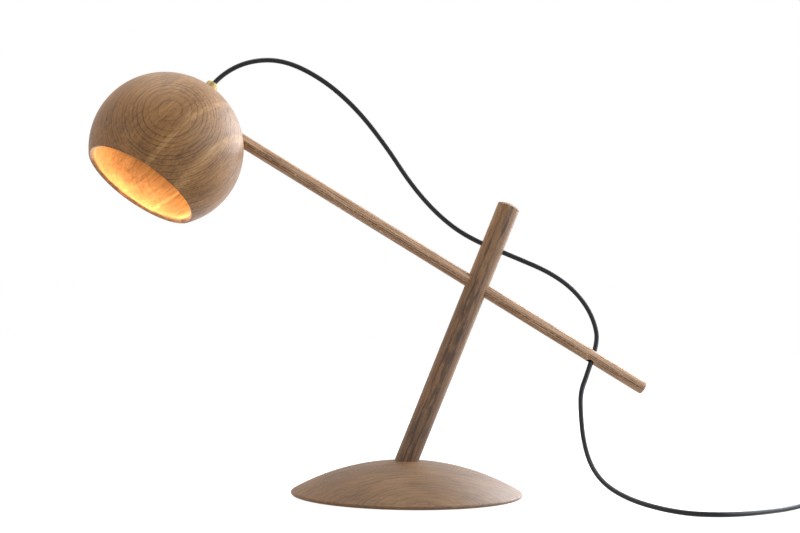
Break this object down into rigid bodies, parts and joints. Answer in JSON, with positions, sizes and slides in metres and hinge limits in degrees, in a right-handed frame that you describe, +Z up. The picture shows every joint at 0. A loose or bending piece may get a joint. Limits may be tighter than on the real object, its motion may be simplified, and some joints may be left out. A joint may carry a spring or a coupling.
{
  "type": "magnetic balance lamp",
  "caption": "Table lamp with a domed wooden base, a leaning post, a wooden rod that slides and turns through it, and a hollow ball shade on a magnet.",
  "frame": {"origin": "middle of the base's flat underside, where it stands on the table", "axes": "+Z up; the post and the rod lie in the XZ plane with the shade towards -X and the rod's tail and the cord towards +X; -Y is the side that the shade's mouth is turned to"},
  "size_m": [0.9694, 0.313, 0.5355],
  "materials": {
    "oak": "oiled, brushed grain",
    "felt": "matte",
    "steel_plate": "matte",
    "steel": "satin",
    "brass": "polished",
    "nickel": "polished",
    "nylon": "matte",
    "cord": "satin",
    "phenolic": "gloss",
    "ceramic": "gloss",
    "opal": "opal",
    "black_plastic": "matte"
  },
  "bodies": {
    "stand": {"base_dome": "oak", "base_ballast": "steel_plate", "base_ballast_screws": "steel", "base_pad": "felt", "post": "oak", "post_screw": "steel", "post_washer": "steel", "bush_keeper": "brass", "cord_head": "cord", "cord_middle": "cord", "cord_drop": "cord", "cord_table": "cord", "cord_to_coil": "cord", "cord_coil": "cord", "cord_to_plug": "cord", "switch_base": "black_plastic", "switch_cover": "black_plastic", "switch_screws": "steel", "switch_terminals": "brass", "rocker_pin": "steel", "plug_relief": "black_plastic", "plug_body": "black_plastic", "plug_pins": "nickel", "plug_sleeves": "black_plastic"},
    "bush": {"rod_bush": "brass", "bush_liner": "felt"},
    "rod": {"rod": "oak", "rod_magnet": "nickel", "rod_magnet_screw": "brass"},
    "head": {"shade": "oak", "shade_collar": "brass", "gland_cap": "brass", "cord_grip": "nylon", "nipple": "brass", "ring_nut": "brass", "cord_inner": "cord", "socket_block": "oak", "socket_keeper": "steel", "socket_keeper_screw": "brass", "holder_cap": "phenolic", "holder_body": "phenolic", "holder_insert": "ceramic", "holder_shell": "brass", "holder_contact": "brass", "bulb_contact": "steel", "bulb_cap": "brass", "bulb_glass": "opal"},
    "rocker": {"rocker": "black_plastic"}
  },
  "joints": [
    {"name": "rod_turn", "type": "hinge", "parent": "stand", "child": "bush", "pos_m": [0.08312, 0, 0.25648], "axis": [-0.8581, 0, 0.5135], "range_deg": [-60, 30], "deforming": ["cord_head", "cord_middle", "cord_drop"]},
    {"name": "rod_slide", "type": "slide", "parent": "bush", "child": "rod", "axis": [0.8581, 0, -0.5135], "range_m": [-0.05, 0.05], "deforming": ["cord_head", "cord_middle", "cord_drop"]},
    {"name": "head_turn", "type": "hinge", "parent": "rod", "child": "head", "pos_m": [-0.22578, 0, 0.44135], "axis": [-0.8581, 0, 0.5135], "range_deg": [-40, 40], "deforming": ["cord_head"]},
    {"name": "switch_rocker", "type": "hinge", "parent": "stand", "child": "rocker", "pos_m": [0.5039, -0.06, 0.0105], "axis": [-0.6678, 0.7443, 0], "range_deg": [-16, 0]}
  ]
}
